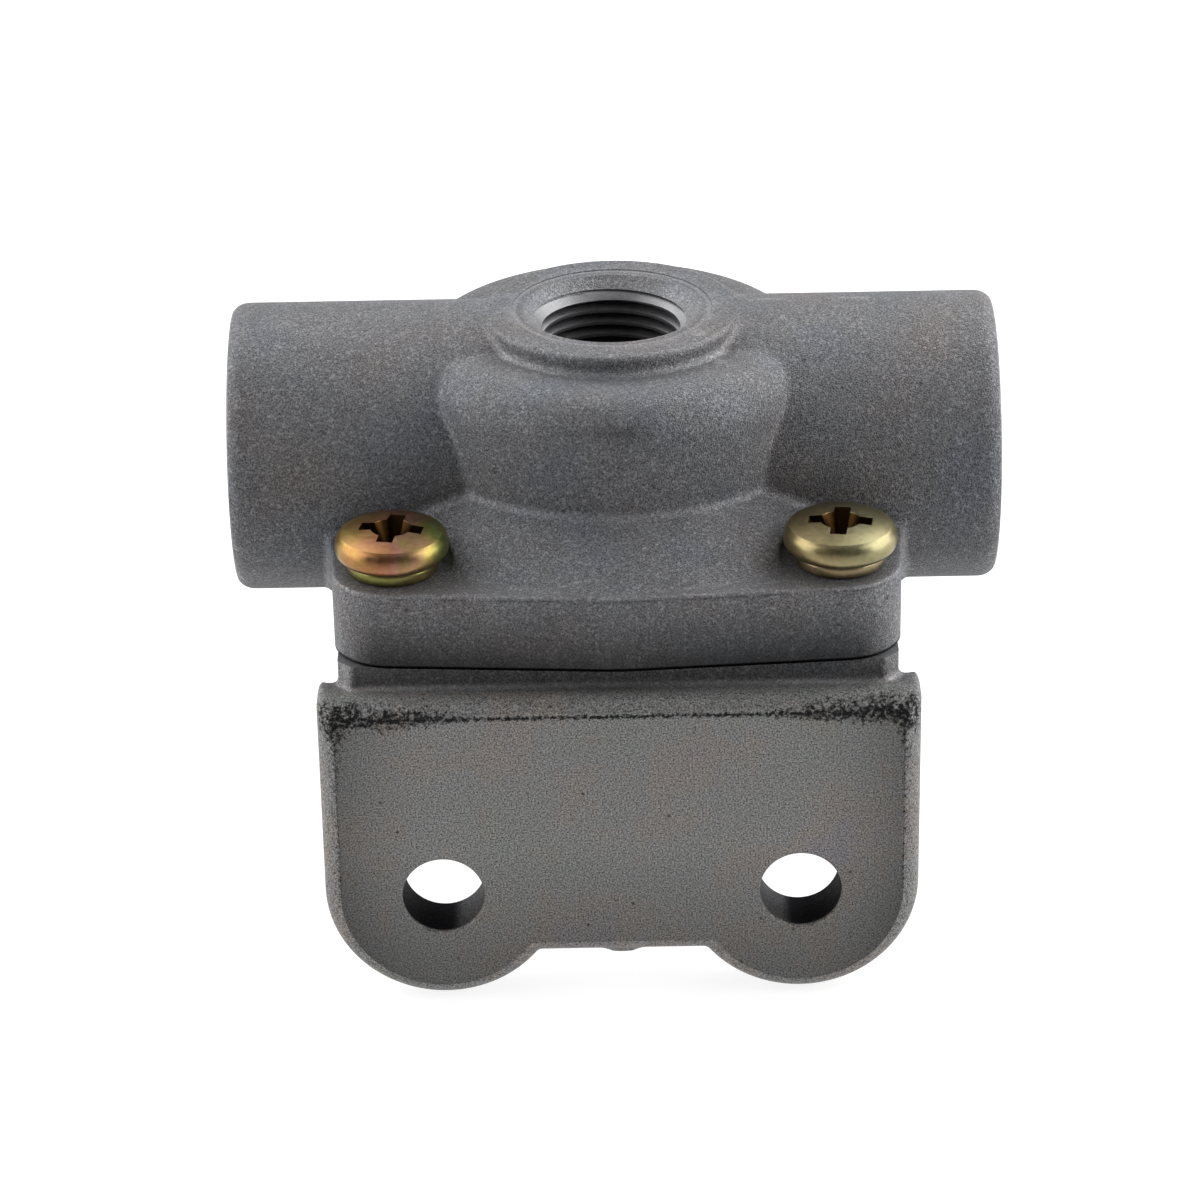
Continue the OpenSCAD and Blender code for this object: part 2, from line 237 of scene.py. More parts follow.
def port_tools(depth, turns, at, tilt=(0, 0, 0)):
    """What a port's drill, chamfer, spot face and tap take away, its mouth at height 0."""
    drill = [(crest_r, -depth), (crest_r, -mouth_depth), (mouth_r, -ring_depth),
             (ring_r, -ring_depth), (ring_r, 3)]
    tap = thread_tool("tap", root_r, crest_r - 0.2, 0.64, pitch, -0.35 - turns * pitch, turns, at, tilt)
    return [turned("drill", drill, 144, at, tilt), tap]


def finished(piece, *tests):
    """Gives the second finish, the third and so on to the faces whose middle a test wants."""
    for face in piece.data.polygons:
        for number, test in enumerate(tests, 1):
            if test(*face.center):
                face.material_index = number


def placed(piece, body, slot, *nodes, crease=32):
    """Moves a finished piece into the part's frame, in metres, and hands it over for its CAD nodes."""
    picked(piece)
    bpy.ops.object.mode_set(mode="EDIT")
    bpy.ops.mesh.select_all(action="SELECT")
    bpy.ops.mesh.remove_doubles(threshold=0.002)
    bpy.ops.mesh.dissolve_degenerate(threshold=0.002)
    bpy.ops.object.mode_set(mode="OBJECT")
    laid(piece, [0.001 * c for c in valve_axis], scale=[0.001] * 3)
    bpy.ops.object.shade_smooth_by_angle(angle=math.radians(crease))

    # An edge between two finishes is sharp
    mesh = piece.data
    edges = listed(mesh.loops, "edge_index", np.int32)
    finish = np.repeat(listed(mesh.polygons, "material_index", np.int32),
                       listed(mesh.polygons, "loop_total", np.int32))
    lowest, highest = np.full(len(mesh.edges), 9), np.full(len(mesh.edges), -1)
    np.minimum.at(lowest, edges, finish)
    np.maximum.at(highest, edges, finish)
    for edge in np.flatnonzero(lowest != highest).tolist():
        mesh.edges[edge].use_edge_sharp = True
    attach(piece, body)
    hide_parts(*nodes)


# The raw casting
barrel = [(cone_r, 4), (cone_r, flange_t), (barrel_r, cone_top),
          *arc(barrel_r - shoulder_round, shoulder_z - shoulder_round, shoulder_round, 0, 90),
          *arc(boss_r + boss_round, shoulder_z + boss_round, boss_round, 270, 180, 3),
          *arc(boss_r - boss_round, boss_top - boss_round, boss_round, 0, 90, 3)]
arm = [*arc(arm_r - arm_round, arm_round - arm_cast_end, arm_round, -90, 0, 6),
       *arc(arm_r - arm_round, arm_cast_end - arm_round, arm_round, 0, 90, 6)]
body = joined("body_casting", [flange_prism(-2.5, flange_t), turned("barrel", barrel, 144),
                               turned("arms", arm, 144, (0, 0, delivery_z), (0, 90, 0))])
worked(body, "REMESH", mode="VOXEL", voxel_size=voxel)
pocket = [(pocket_r, pocket_floor), (pocket_r, 40)]
cut(body, *[turned("head_pocket", pocket, 64, (x, y, 0)) for x, y in corners.values()])
worked(body, "REMESH", mode="VOXEL", voxel_size=voxel)
softened(body, 2, 3, lambda x, y, z: (np.hypot(x, y) < boss_r + 2.6) & (z > shoulder_z - 1))

# Remeshing leaves steps along the flange's slanting sides, which are drawn back to its outline
x, y, z = listed(body.data.vertices, "co", np.float32, 3).T
border = np.maximum(abs(x), abs(y)) > flange_side_from
beside_arms = (abs(y) > arm_clear_y) | (abs(x) < flange_side_from)
sides = (z < flange_t - 0.9) & border & beside_arms
body.vertex_groups.new(name="flange_sides").add(np.flatnonzero(sides).tolist(), 1.0, "REPLACE")
outline = flange_prism(-2.5, flange_t)
worked(body, "SHRINKWRAP", target=outline, vertex_group="flange_sides")
bpy.data.objects.remove(outline)
body.vertex_groups.clear()
worked(body, "DECIMATE", ratio=0.4)

# The machining: joint face, chamber with the inlet seat, ports and screw holes
joint = flange_prism(-14, 0, 0.3)
arm_root = [(arm_root_r, arm_root_x), (arm_root_r, 40)]
for side in (-1, 1):
    cut(joint, turned("arm_root", arm_root, 144, (0, 0, delivery_z), (0, side * 90, 0)))
cut(body, joint)
chamber = [(chamber_r, -1), (chamber_r, chamber_top), (seat_out_r, chamber_top), (seat_out_r, seat_z),
           (seat_in_r, seat_z), (seat_in_r, inlet_cone_low), (passage_r, inlet_cone_top), (passage_r, 15)]
cut(body, turned("chamber", chamber, 144), *port_tools(supply_depth, 9, (0, 0, boss_top)))
for side in (-1, 1):
    mouth = (side * arm_end, 0, delivery_z)
    cut(body, turned("facing", [(30, 0), (30, 10)], 48, mouth, (0, side * 90, 0)))
    cut(body, *port_tools(delivery_depth, 12, mouth, (0, side * 90, 0)))
screw_hole = [(screw_hole_r, -2), (screw_hole_r, 10)]
cut(body, *[turned("screw_hole", screw_hole, 64, (x, y, 0)) for x, y in corners.values()])


class Finish:
    """A value on its way through a material's nodes. Arithmetic on it adds Math nodes."""

    def __init__(self, tree, socket=None):
        self.tree = tree
        self.socket = socket

    def add(self, kind, settings={}, inputs={}, out=0):
        """Adds a node, with its settings and then its sockets' values or links, and gives an output."""
        made = self.tree.nodes.new("ShaderNode" + kind)
        for key, value in settings.items():
            if key == "stops":
                while len(made.color_ramp.elements) < len(value):
                    made.color_ramp.elements.new(0.5)
                for stop, (position, colour) in zip(made.color_ramp.elements, value):
                    stop.position = position
                    stop.color = (*colour, 1) if isinstance(colour, tuple) else (colour, colour, colour, 1)
            else:
                setattr(made, key, value)
        for key, value in inputs.items():
            if isinstance(value, Finish):
                self.tree.links.new(value.socket, made.inputs[key])
            else:
                made.inputs[key].default_value = value
        return Finish(self.tree, made.outputs[out])

    def math(self, operation, other=0.0):
        return self.add("Math", {"operation": operation}, {0: self, 1: other})

    def __add__(self, other):
        return self.math("ADD", other)

    __radd__ = __add__

    def __sub__(self, other):
        return self.math("SUBTRACT", other)

    def __rsub__(self, other):
        return self.add("Math", {"operation": "SUBTRACT"}, {0: other, 1: self})

    def __mul__(self, other):
        return self.math("MULTIPLY", other)

    __rmul__ = __mul__

    def __truediv__(self, other):
        return self.math("DIVIDE", other)

    def __rtruediv__(self, other):
        return self.add("Math", {"operation": "DIVIDE"}, {0: other, 1: self})

    def __abs__(self):
        return self.math("ABSOLUTE")

    def squared(self):
        return self * self

    def clipped(self):
        return self.add("Clamp", {}, {"Value": self})

    def ramp(self, *stops):
        return self.add("ValToRGB", {"stops": stops}, {"Fac": self})

    def noise(self, scale, detail=2.0, roughness=0.5):
        inputs = {"Vector": self, "Scale": scale, "Detail": detail, "Roughness": roughness}
        return self.add("TexNoise", {}, inputs)

    def mixed(self, share, other):
        colour = other if isinstance(other, Finish) else (*other, 1)
        return self.add("Mix", {"data_type": "RGBA"}, {0: share, 6: self, 7: colour}, 2)

    def scaled(self, amount):
        return self.add("VectorMath", {"operation": "SCALE"}, {"Vector": self, "Scale": amount})


def started(name):
    """A new material, and the place of each point on the piece in it."""
    material = bpy.data.materials.new(name)
    material.use_nodes = True
    return material, Finish(material.node_tree).add("TexCoord", out="Object")


def along(place, axis):
    """How far along one axis of the part's frame a place is, in millimetres."""
    return 1000 * place.add("SeparateXYZ", {}, {0: place}, axis)


def dressed(material, tone, rough, relief, depth, metallic):
    """Joins a material's colour, roughness, relief and share of bare metal to its surface."""
    tree = material.node_tree
    skin = tree.nodes["Principled BSDF"]
    bump = relief.add("Bump", {}, {"Height": relief, "Strength": 0.8, "Distance": depth})
    for name, value in {"Base Color": tone, "Roughness": rough, "Normal": bump, "Metallic": metallic}.items():
        if isinstance(value, Finish):
            tree.links.new(value.socket, skin.inputs[name])
        else:
            skin.inputs[name].default_value = value
    return material


def blasted(place, dark, light, cool, warm):
    """Colour, roughness and relief of shot-blasted metal: sandy with glinting specks, faintly stained, its
    edges and hollow creases painted lighter as highlights.
    """
    mottle = place.noise(120, 4, 0.6)
    stain = place.noise(95, 3, 0.5)
    sand = place.noise(6200, 1, 0.5).ramp((0.34, 0), (0.66, 1))
    dust = place.noise(2600, 2, 0.5).ramp((0.34, 0), (0.66, 1))
    specks = place.add("TexVoronoi", {}, {"Vector": place, "Scale": 4000}, "Color")
    glint = place.add("SeparateColor", {}, {0: specks}).ramp((0.75, 0), (0.97, 1))
    pits = place.add("TexVoronoi", {}, {"Vector": place, "Scale": 330}).ramp((0.05, 1), (0.11, 0))
    pits = pits * mottle.ramp((0.5, 0), (0.6, 1))
    curve = place.add("NewGeometry", out="Pointiness")
    # Painted highlights: convex edges and hollow creases are painted lighter, as if they caught the light.
    edge = curve.ramp((0.512, 0), (0.55, 1)) + 1.3 * curve.ramp((0.472, 1), (0.495, 0))
    tone = mottle.ramp((0.3, dark), (0.7, light))
    tone = tone.mixed(stain.ramp((0.53, 0), (0.72, 0.7)), cool)
    tone = tone.mixed(stain.ramp((0.28, 0.7), (0.47, 0)), warm)
    tone = tone.scaled((0.34 + 0.85 * sand + 0.12 * dust + 0.6 * glint + 0.4 * edge) * (1.0 - 0.7 * pits))
    return tone, 0.66 - 0.15 * sand - 0.1 * edge, sand + 0.25 * dust


def turned_metal(name, colour, rough):
    """Machined metal: brighter than the cast skin, with fine tool marks."""
    material, place = started(name)
    cloud = place.noise(600, 3, 0.6)
    marks = place.noise(5200, 2, 0.6)
    tone = cloud.ramp((0.3, tuple(0.8 * c for c in colour)), (0.7, colour)).scaled(0.6 + 0.8 * marks)
    return dressed(material, tone, rough + 0.15 * cloud, marks, 0.00003, 0.9)


def body_machined(x, y, z):
    """Whether a face of the body was machined: on the joint, in a port or on an arm's end."""
    on_joint = z < 0.02 and math.hypot(x, y) < joint_r
    in_supply = math.hypot(x, y) < thread_metal_r and z > seat_z + 2
    in_delivery = math.hypot(y, z - delivery_z) < mouth_r - 0.01 and abs(x) > delivery_floor_x
    return on_joint or in_supply or in_delivery or abs(x) > arm_end - 0.15


# Painted shade low on the flange and on the arms' undersides darkens the cast skin, and so do a dark line
# below the flange's top edge in places, the open joint and a smudge on the barrel's shoulder
flange_front_half = 29.5
body_tones = ((0.120, 0.120, 0.126), (0.155, 0.155, 0.161), (0.116, 0.128, 0.152), (0.150, 0.132, 0.128))
skin, place = started("body_casting")
tone, rough, relief = blasted(place, *body_tones)
across = along(place, 0)
rise = along(place, 2) - valve_axis[2]
inside = flange_front_half - abs(across)
# Painted shade: the flange's front grows darker towards its foot.
flange_foot_shade = (inside * 0.25).clipped() * (0.93 - 0.13 * rise).clipped()
lip = (inside * 2.0).clipped() * (1.0 - 5.0 * abs(rise - flange_t + 0.45)).clipped()
lip = lip * place.noise(260).ramp((0.4, 0), (0.6, 1))
# Painted shade: the lowest parts of the body, the arms' undersides among them, are darkened.
underside_shade = 0.7 * ((1.65 - rise) * 0.2).clipped()
seam = ((arm_root_x - 0.1 - abs(across)) * 3.0).clipped() * ((0.4 - rise) * 6.0).clipped()
spot = (1.0 - 0.05 * (across - 0.5).squared() - 0.7 * (rise - 22.65).squared()).clipped()
smudge = spot * place.noise(900)
left = (1.0 - flange_foot_shade) * (1.0 - underside_shade) * (1.0 - 0.93 * seam) * (1.0 - 0.5 * lip) * (1.0 - 0.7 * smudge)
body.data.materials.clear()
body.data.materials.append(dressed(skin, tone.scaled(left), rough, relief, 0.00006, 0.4 + 0.6 * seam))
body.data.materials.append(turned_metal("port_metal", (0.21, 0.21, 0.217), 0.4))
finished(body, body_machined)
placed(body, "housing", "body_casting", "valve_body")


# Cover and bracket: one die casting, a square cover with the exhaust port's boss below it and the fixing
# bracket down its front. The bracket's face was ground flat after casting, which left a line along its
# rounded edge where black grit sits. The body stands on it, held by the screws that thread into it.
cover_half = 29.5
cover_t = 8.2
cover_chamfer = 1.5
cover_stock = 2
plate_half = 31.75
plate_t = 6.35
plate_top = -2.75
plate_front = -33.0
plate_back = plate_front + plate_t
ear_r = 12.7
hole_half = 19.05
hole_z = -25.85
hole_r = 4.365
hole_chamfer = 0.3
tie_low = hole_z - 7.7
gate_r = 4
gate_drop = 0.6
ground_off = 0.12
front_round = 2.5
back_round = 1.2
exhaust_r = 13
exhaust_round = 1.4
exhaust_low = -20
chamber_floor = -4.6
exhaust_seat_r = 7.7
exhaust_seat_z = -2.6
groove_in_r = 23.56
groove_out_r = 26.96
groove_depth = 2
tapped_r = 3.225


def slab(name, low, high):
    """A plain block between two corners."""
    bpy.ops.object.select_all(action="DESELECT")
    bpy.ops.mesh.primitive_cube_add(size=1)
    piece = bpy.context.object
    piece.name = name
    return laid(piece, [(a + b) / 2 for a, b in zip(low, high)], scale=[b - a for a, b in zip(low, high)])


def bevelled(piece, wanted, width, segments):
    """Bevels the edges whose middle point the test wants."""
    picked(piece)
    bpy.ops.object.mode_set(mode="EDIT")
    bpy.ops.mesh.select_mode(type="EDGE")
    bpy.ops.mesh.select_all(action="DESELECT")
    bpy.ops.object.mode_set(mode="OBJECT")
    spots = piece.data.vertices
    for edge in piece.data.edges:
        edge.select = bool(wanted((spots[edge.vertices[0]].co + spots[edge.vertices[1]].co) / 2))
    bpy.ops.object.mode_set(mode="EDIT")
    bpy.ops.mesh.bevel(offset=width, segments=segments, affect="EDGES")
    bpy.ops.object.mode_set(mode="OBJECT")


def on_side(point):
    """Whether a point of the plate is on one of its sides."""
    return abs(point.x) > plate_half - 0.05


def on_top(point):
    """Whether a point of the plate is on its top."""
    return point.z > plate_top - 0.05


# The raw casting, its bracket a little proud in front
ear = [*arc(ear_r - front_round, front_round - ground_off, front_round, 270, 360, 8),
       *arc(ear_r - back_round, plate_t - back_round, back_round, 0, 90, 5)]
ears = [turned("ear", ear, 144, (x, plate_front, hole_z), (-90, 0, 0)) for x in (-hole_half, hole_half)]
cover = slab("cover", (-cover_half, -cover_half, -cover_t), (cover_half, cover_half, cover_stock))
bevelled(cover, lambda p: abs(p.z - (cover_stock - cover_t) / 2) < 0.1, cover_chamfer, 1)
plate = slab("plate", (-plate_half, plate_front - ground_off, hole_z), (plate_half, plate_back, plate_top))
bevelled(plate, lambda p: abs(p.y - plate_front) < 5 and on_side(p) and on_top(p), 1.0, 4)
bevelled(plate, lambda p: p.y < plate_front and p.z > hole_z + 0.1, front_round, 8)
bevelled(plate, lambda p: p.y > plate_back - 0.1 and p.z > hole_z + 0.1 and (on_side(p) or on_top(p)),
         back_round, 5)
tie = slab("tie", (-hole_half, plate_front - ground_off, tie_low), (hole_half, plate_back, hole_z + 1))
bevelled(tie, lambda p: p.y < plate_front and p.z < tie_low + 0.1, front_round, 8)
bevelled(tie, lambda p: p.y > plate_back - 0.1 and p.z < tie_low + 0.1, back_round, 5)
gate_at = (0, plate_front, tie_low - gate_drop + gate_r)
gate = turned("gate", [(gate_r, 1.5), (gate_r, 5)], 96, gate_at, (-90, 0, 0))
boss_edge = arc(exhaust_r - exhaust_round, exhaust_low + exhaust_round, exhaust_round, 270, 360, 5)
exhaust = turned("exhaust_boss", [*boss_edge, (exhaust_r, -3)], 96)
cover = joined("cover_casting", [cover, plate, tie, gate, exhaust, *ears])
worked(cover, "REMESH", mode="VOXEL", voxel_size=voxel)
softened(cover, 2, 2)
worked(cover, "DECIMATE", ratio=0.4)

# The machining: joint face, ground bracket, chamber with the exhaust seat, seal groove, port and holes
cut(cover, slab("joint_face", (-40, -40, 0), (40, 40, 8)))
cut(cover, slab("grinder", (-40, plate_front - 5, -45), (40, plate_front, 5)))
chamber = [(chamber_r, 1), (chamber_r, chamber_floor), (exhaust_seat_r, chamber_floor),
           (exhaust_seat_r, exhaust_seat_z), (passage_r, exhaust_seat_z), (passage_r, -11)]
cut(cover, turned("chamber", chamber, 144))
groove = turned("groove", [(groove_out_r, -groove_depth), (groove_out_r, 1)], 144)
cut(groove, turned("groove_core", [(groove_in_r, -groove_depth - 1), (groove_in_r, 2)], 144))
cut(cover, groove, *port_tools(10, 6, (0, 0, exhaust_low), (180, 0, 0)))
tapped_hole = [(tapped_r, -9), (tapped_r, 1)]
cut(cover, *[turned("tapped_hole", tapped_hole, 64, (x, y, 0)) for x, y in corners.values()])
bolt_hole = [(hole_r + hole_chamfer, -0.2), (hole_r, hole_chamfer),
             (hole_r, plate_t - hole_chamfer), (hole_r + hole_chamfer, plate_t + 0.2)]
for x in (-hole_half, hole_half):
    cut(cover, turned("bolt_hole", bolt_hole, 96, (x, plate_front, hole_z), (-90, 0, 0)))


def gritted_and_hole_shaded(place, tone):
    """Black grit along the line round the ground face, thickest at its top corners, and painted shade on the
    bolt holes' walls.
    """
    across, deep, up = abs(along(place, 0)), along(place, 1), along(place, 2)
    from_hole = (across - hole_half).squared() + up.squared()
    low = up.math("LESS_THAN", 0.0)
    rim = (across - 30.0).math("MAXIMUM", up - 21.35)
    rim = rim + low * ((from_hole.math("SQRT") - 10.95).math("MINIMUM", -6.0 - up) - rim)
    ends = ((across - 15) * 0.07).clipped() * ((up - 14.5) * 0.2).clipped()
    top = ((up - 18) * 0.4).clipped()
    width = 0.34 + 3.2 * ends * place.noise(260, 2, 0.5)
    near = 1.0 - abs(rim + 0.05) / width
    grit = place.noise(2100, 2, 0.7)
    grit_and_hole_shade = (near * 1.1 + (grit - 0.5) * 5.0 - 0.8 + 0.75 * top - 0.35 * low).clipped()
    grit_and_hole_shade = grit_and_hole_shade * (2.0 - deep).clipped()
    # Painted shade: the bolt holes' walls are darkened nearly black, less on their inner sides.
    wall = (20.6 - from_hole).clipped() * (3.0 * deep - 0.6).clipped()
    wall = wall * (0.99 - 0.35 * (18.2 - across).clipped())
    grit_and_hole_shade = (0.9 * grit_and_hole_shade).math("MAXIMUM", wall)
    return tone.mixed(grit_and_hole_shade, (0.008, 0.008, 0.011)), grit_and_hole_shade


def faced(place):
    """Colour and grain of the bracket's front, tarnished in faint patches of green, blue and brown."""
    cloud = place.noise(75, 4, 0.6)
    grain = place.noise(5600, 2, 0.6).ramp((0.34, 0), (0.66, 1))
    pits = place.add("TexVoronoi", {}, {"Vector": place, "Scale": 420}).ramp((0.05, 1), (0.1, 0))
    pits = pits * cloud.ramp((0.45, 0), (0.55, 1))
    tone = cloud.ramp((0.30, (0.166, 0.150, 0.139)), (0.40, (0.157, 0.162, 0.152)),
                      (0.48, (0.162, 0.161, 0.161)), (0.56, (0.174, 0.160, 0.146)),
                      (0.66, (0.163, 0.152, 0.160)))
    scale = (1.65 * grain + 0.8 * place.noise(1500, 4, 0.75) - 0.18) * (1.0 - 0.8 * pits)
    return tone.scaled(scale), grain


def cover_machined(x, y, z):
    """Whether a face of the cover was machined: on the joint, in the chamber and groove, or in the port."""
    r = math.hypot(x, y)
    in_chamber = z > chamber_floor - 0.1 and r < groove_out_r + 0.04
    in_port = r < mouth_r - 0.01 and z > exhaust_low - 1
    return z > -0.01 or in_chamber or in_port


# The cast skin takes the front's tarnish round the bracket's edge, and is dark where the flange shades it
cover_tones = ((0.128, 0.128, 0.132), (0.165, 0.165, 0.168), (0.126, 0.136, 0.152), (0.160, 0.142, 0.134))
skin, place = started("cover_casting")
tone, rough, relief = blasted(place, *cover_tones)
tone = tone.mixed((3.4 - along(place, 1)).clipped(), faced(place)[0])
tone, grit_and_hole_shade = gritted_and_hole_shaded(place, tone)
shade = ((along(place, 2) - 23.2) * 2.0).clipped() * ((28.2 - abs(along(place, 0))) * 1.5).clipped()
tone = tone.scaled(1.0 - 0.6 * shade)
cover.data.materials.clear()
cover.data.materials.append(dressed(skin, tone, rough + 0.3 * grit_and_hole_shade, relief, 0.00006, 0.4 + 0.6 * grit_and_hole_shade))
cover.data.materials.append(turned_metal("seat_metal", (0.34, 0.34, 0.35), 0.3))

# Painted shade: the ground face is darker towards its sides and towards its bottom
skin, place = started("ground_face")
tone, grain = faced(place)
tone, grit_and_hole_shade = gritted_and_hole_shaded(place, tone)
side_shade = ((abs(along(place, 0)) - 18) * 0.08).clipped()
tone = tone.scaled(1.0 - 0.45 * side_shade.squared() - 0.5 * ((5.5 - along(place, 2)) * 0.06).clipped())
rough = 0.38 + 0.12 * grain + 0.4 * grit_and_hole_shade
cover.data.materials.append(dressed(skin, tone, rough, grain, 0.00002, 0.55 + 0.45 * grit_and_hole_shade))
finished(cover, cover_machined, lambda x, y, z: y < plate_front + 0.001)
placed(cover, "housing", "cover_casting", "cover_bracket")


# Diaphragm and cover seal: a loose disc and a ring of black nitrile rubber. The disc rests on the exhaust
# seat and lifts to the inlet seat, and the ring is squeezed in the cover's groove.
for node in ("diaphragm", "cover_seal"):
    skin, place = started(node + "_rubber")
    bloom = place.noise(160, 4, 0.6)
    tone = bloom.ramp((0.3, 0.012), (0.7, 0.034))
    rubber = dressed(skin, tone, 0.5 + 0.25 * bloom, place.noise(1800), 0.00006, 0.0)
    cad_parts[node].data.materials.clear()
    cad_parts[node].data.materials.append(rubber)


# Lock washers: split spring washers in the flange's pockets, under the screw heads that press them flat.
# Each is a ring rolled from steel wire, cut through at a slant and yellow zinc plated.
washer_t = 1.4
washer_r = 4.8
washer_bore_r = 3.25
washer_gap_half = 0.4
washer_slant = 35
washer_turns = {"front_left": 100, "front_right": 75, "back_left": 250, "back_right": 310}
tan_films = ((0.3, (0.44, 0.33, 0.18)), (0.5, (0.47, 0.37, 0.21)), (0.7, (0.40, 0.35, 0.19)))
green_films = ((0.3, (0.36, 0.31, 0.10)), (0.5, (0.33, 0.32, 0.10)), (0.7, (0.44, 0.31, 0.15)))


def zinc(name, films, rough, middle=0.0, lean=0.0):
    """Yellow zinc plating: a clear film whose thickness, and so its colour, shifts from left to right."""
    material, place = started(name)
    film = 0.35 + 0.3 * place.noise(260, 2, 0.5) + lean * (along(place, 0) - middle)
    wear = place.noise(1500, 3, 0.6)
    brushed = place.add("Mapping", {}, {"Vector": place, "Scale": (5000, 900, 900)}).noise(1, 2, 0.5)
    tone = film.ramp(*films).scaled(0.35 + 0.4 * wear)
    return dressed(material, tone, rough + 0.2 * wear, brushed, 0.000004, 1.0)


def copied(piece, name, at, turn):
    """A copy with its own mesh, turned about its axis and put at a screw's place."""
    twin = piece.copy()
    twin.data = piece.data.copy()
    twin.name = name
    bpy.context.scene.collection.objects.link(twin)
    return laid(twin, at, (0, 0, turn))


wire = [(4.35, 0), *arc(washer_r - 0.3, 0.3, 0.3, -90, 0, 4),
        *arc(washer_r - 0.4, washer_t - 0.4, 0.4, 0, 90, 4)]
washer = turned("washer", wire, 128)
cut(washer, turned("bore", [(washer_bore_r, -1), (washer_bore_r, 3)], 96))
gap = slab("gap", (2, -washer_gap_half, -4), (8, washer_gap_half, 6))
cut(washer, laid(gap, (0, 0, washer_t / 2), (washer_slant, 0, 0)))
washer.data.materials.clear()
for corner, (x, y) in corners.items():
    piece = copied(washer, "spring_washer_" + corner, (x, y, pocket_floor), washer_turns[corner])
    films = tan_films if "right" in corner else green_films
    piece.data.materials.append(zinc(piece.name, films, 0.24, x, 0.02))
    placed(piece, "housing", "zinc_washer", "lock_washer_" + corner)
bpy.data.objects.remove(washer)


# Screws: quarter-inch pan heads with a cross recess, cold headed from steel wire with rolled threads, and
# yellow zinc plated. They pass through the flange and thread into the cover.
head_low = pocket_floor + washer_t
shank_r = 3.15
shank_end = -15.8
thread_root_r = 2.5
thread_pitch = 1.27
wing_reach = 3.55
wing_half = 0.92
wing_low = 0.8
screw_turns = {"front_left": -11, "front_right": -7.5, "back_left": 24, "back_right": 61}
warm_films = ((0.25, (0.42, 0.36, 0.10)), (0.38, (0.52, 0.30, 0.09)), (0.48, (0.54, 0.24, 0.12)),
              (0.54, (0.56, 0.28, 0.20)), (0.62, (0.50, 0.40, 0.11)), (0.70, (0.34, 0.44, 0.13)),
              (0.80, (0.50, 0.34, 0.10)))
pale_films = ((0.25, (0.52, 0.41, 0.18)), (0.45, (0.48, 0.40, 0.21)), (0.60, (0.44, 0.41, 0.22)),
              (0.75, (0.52, 0.43, 0.22)))
# Painted shade: the cross recess is given nearly black films, darker than the plating around it.
recess_shade_films = ((0.3, (0.06, 0.026, 0.009)), (0.5, (0.08, 0.040, 0.011)), (0.7, (0.04, 0.028, 0.010)))

shank = [(thread_root_r, shank_end), (shank_r, shank_end + 0.7), (shank_r, 0), (4.95, 0)]
head_side = [*arc(4.75, 1.2, 1.25, -72, 0, 8), (5.98, 1.5), (5.94, 1.8), (5.87, 2.1), (5.75, 2.38),
             (5.58, 2.62)]
head_dome = [(5.38, 2.8), (4.6, 2.98), (3.6, 3.14), (2.4, 3.27), (1.2, 3.34), (0.6, 3.36)]


def in_recess(x, y, z):
    """Whether a face lies in the cross recess, below the head's dome."""
    return math.hypot(x, y) < wing_reach + 0.05 and 0.2 < z < 3.24 - 0.0194 * (x * x + y * y)


screw = turned("screw", shank + head_side + head_dome, 128)
cut(screw, thread_tool("thread", thread_root_r, shank_r + 0.2, 0.52, thread_pitch, shank_end - 0.7, 6))
recess = [turned("recess_cone", [(0.7, -0.1), (1.1, 0.5), (2.15, 3.2), (2.35, 4)], 64)]
for turn in (0, 90):
    wing = slab("wing", (-wing_reach, -wing_half, wing_low), (wing_reach, wing_half, 3.6))
    for corner in wing.data.vertices:
        if corner.co.z < wing_low + 0.2:
            corner.co.x *= 0.62
            corner.co.y *= 0.55
    recess.append(laid(wing, (0, 0, 0), (0, 0, turn)))
cut(screw, *recess)
screw.data.materials.clear()
finished(screw, in_recess)
for corner, (x, y) in corners.items():
    piece = copied(screw, "pan_screw_" + corner, (x, y, head_low), screw_turns[corner])
    films = pale_films if "right" in corner else warm_films
    piece.data.materials.append(zinc(piece.name, films, 0.24, x, 0.034))
    piece.data.materials.append(zinc(piece.name + "_recess", recess_shade_films, 0.3))
    placed(piece, "housing", "zinc_screw", "screw_" + corner, crease=18)
bpy.data.objects.remove(screw)


# Studio: a white floor, two softboxes high behind the part and one at each side of it, dim walls that are
# brighter behind than in front, and the photograph's camera. Sizes here are in metres.
floor_z = -0.0129
light_target = Vector((0, 0.03, 0.02))
lights = {"high_left_light": ((-0.35, 0.40, 0.44), 0.45, 2.7),
          "high_right_light": ((0.35, 0.40, 0.44), 0.45, 2.9),
          "left_light": ((-0.60, 0.0, 0.27), 0.65, 4.2),
          "right_light": ((0.60, 0.0, 0.27), 0.65, 5.4)}
camera_target = Vector((-0.001838, 0.033, 0.018593))
camera_distance = 0.485668
camera_azimuth = math.radians(0.093)
camera_elevation = math.radians(26.354)
camera_roll = math.radians(-1.06)

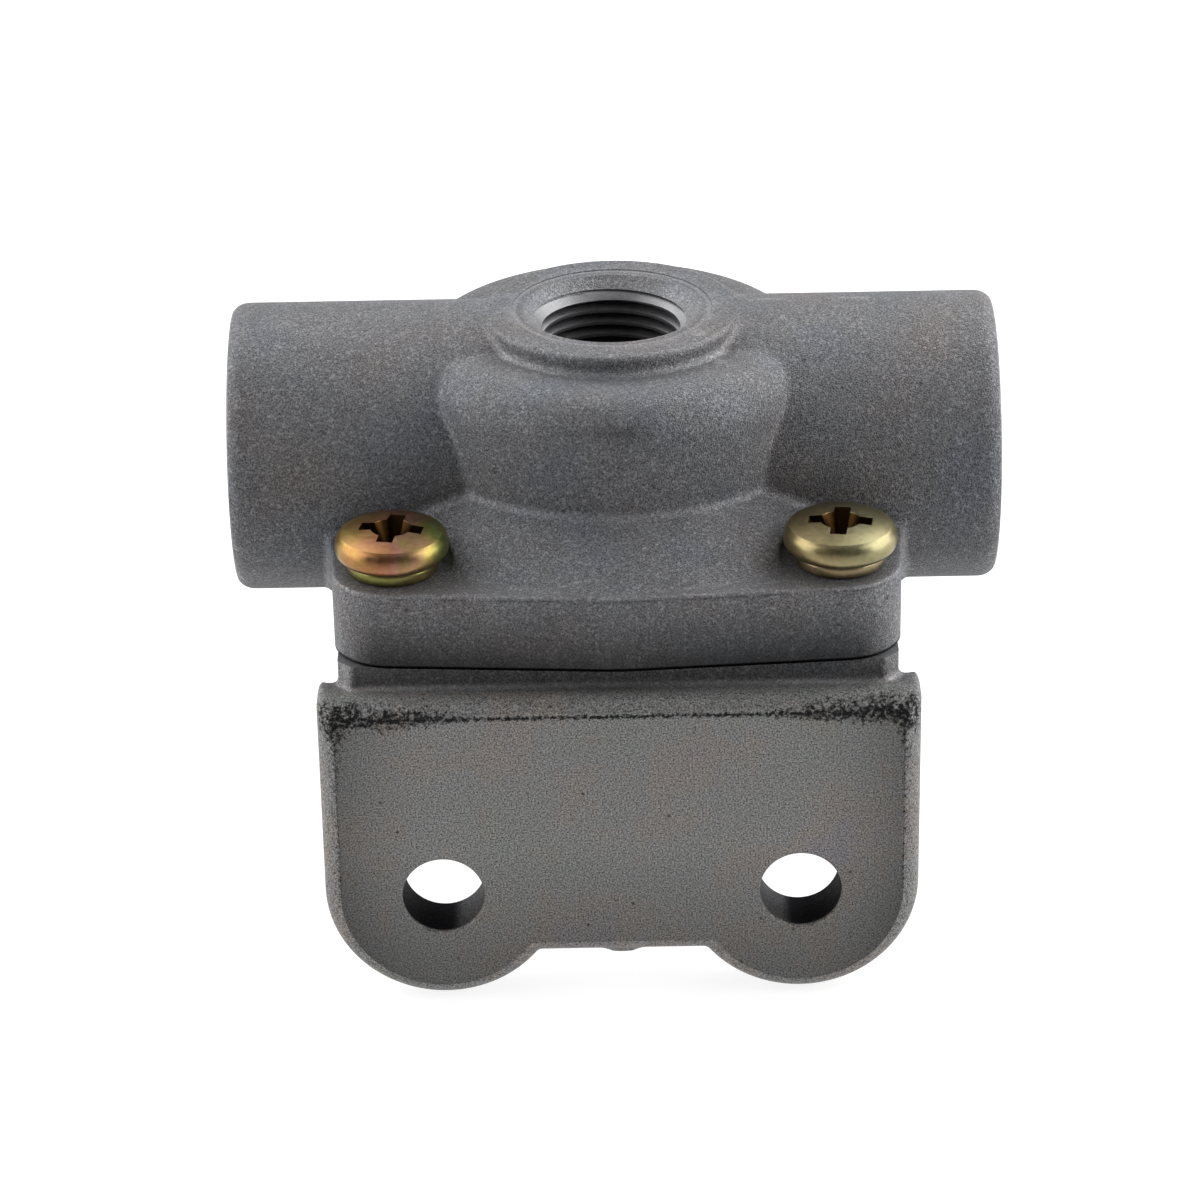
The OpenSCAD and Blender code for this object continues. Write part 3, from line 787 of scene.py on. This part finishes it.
bpy.ops.object.select_all(action="DESELECT")
bpy.ops.mesh.primitive_plane_add(size=8, location=(0, 0, floor_z))
floor = bpy.context.object
floor.name = "floor"
glowing_floor, place = started("floor_paper")
skin = glowing_floor.node_tree.nodes["Principled BSDF"]
skin.inputs["Base Color"].default_value = (0.25, 0.25, 0.25, 1)
skin.inputs["Roughness"].default_value = 0.9
skin.inputs["Emission Strength"].default_value = 1.0
# Painted light: the floor glows and lights the part, and its glow dims in front of the part as painted shade.
glow = (0.9 + 0.0022 * along(place, 1)).clipped() * 0.7 + 0.2
glow = glow.add("CombineColor", {}, {0: glow, 1: glow, 2: glow})
glowing_floor.node_tree.links.new(glow.socket, skin.inputs["Emission Color"])
floor.data.materials.append(glowing_floor)

world = bpy.data.worlds.new("studio")
world.use_nodes = True
facing = Finish(world.node_tree).add("TexCoord", out="Generated")
back, up = [facing.add("SeparateXYZ", {}, {0: facing}, axis) for axis in (1, 2)]
walls = (0.5 + 0.5 * back).ramp((0.2, 0.13), (0.9, 0.44)) + 0.25 * up.ramp((0.72, 0), (0.88, 1))
world.node_tree.links.new(walls.socket, world.node_tree.nodes["Background"].inputs["Color"])
bpy.context.scene.world = world
bpy.context.scene.view_settings.view_transform = "Standard"

for name, (at, width, power) in lights.items():
    lamp = bpy.data.lights.new(name, "AREA")
    lamp.shape = "SQUARE"
    lamp.size = width
    lamp.energy = power
    softbox = bpy.data.objects.new(name, lamp)
    bpy.context.scene.collection.objects.link(softbox)
    softbox.location = at
    softbox.rotation_euler = (light_target - Vector(at)).to_track_quat("-Z", "Y").to_euler()

camera_data = bpy.data.cameras.new("camera")
camera_data.sensor_width = 36
camera_data.lens = 130.7
camera_data.clip_start = 0.01
camera = bpy.data.objects.new("camera", camera_data)
bpy.context.scene.collection.objects.link(camera)
away = Vector((math.sin(camera_azimuth) * math.cos(camera_elevation),
               -math.cos(camera_azimuth) * math.cos(camera_elevation), math.sin(camera_elevation)))
camera.location = camera_target + camera_distance * away
camera.rotation_euler = (-away).to_track_quat("-Z", "Y").to_euler()
camera.rotation_euler.rotate_axis("Z", camera_roll)
bpy.context.scene.camera = camera
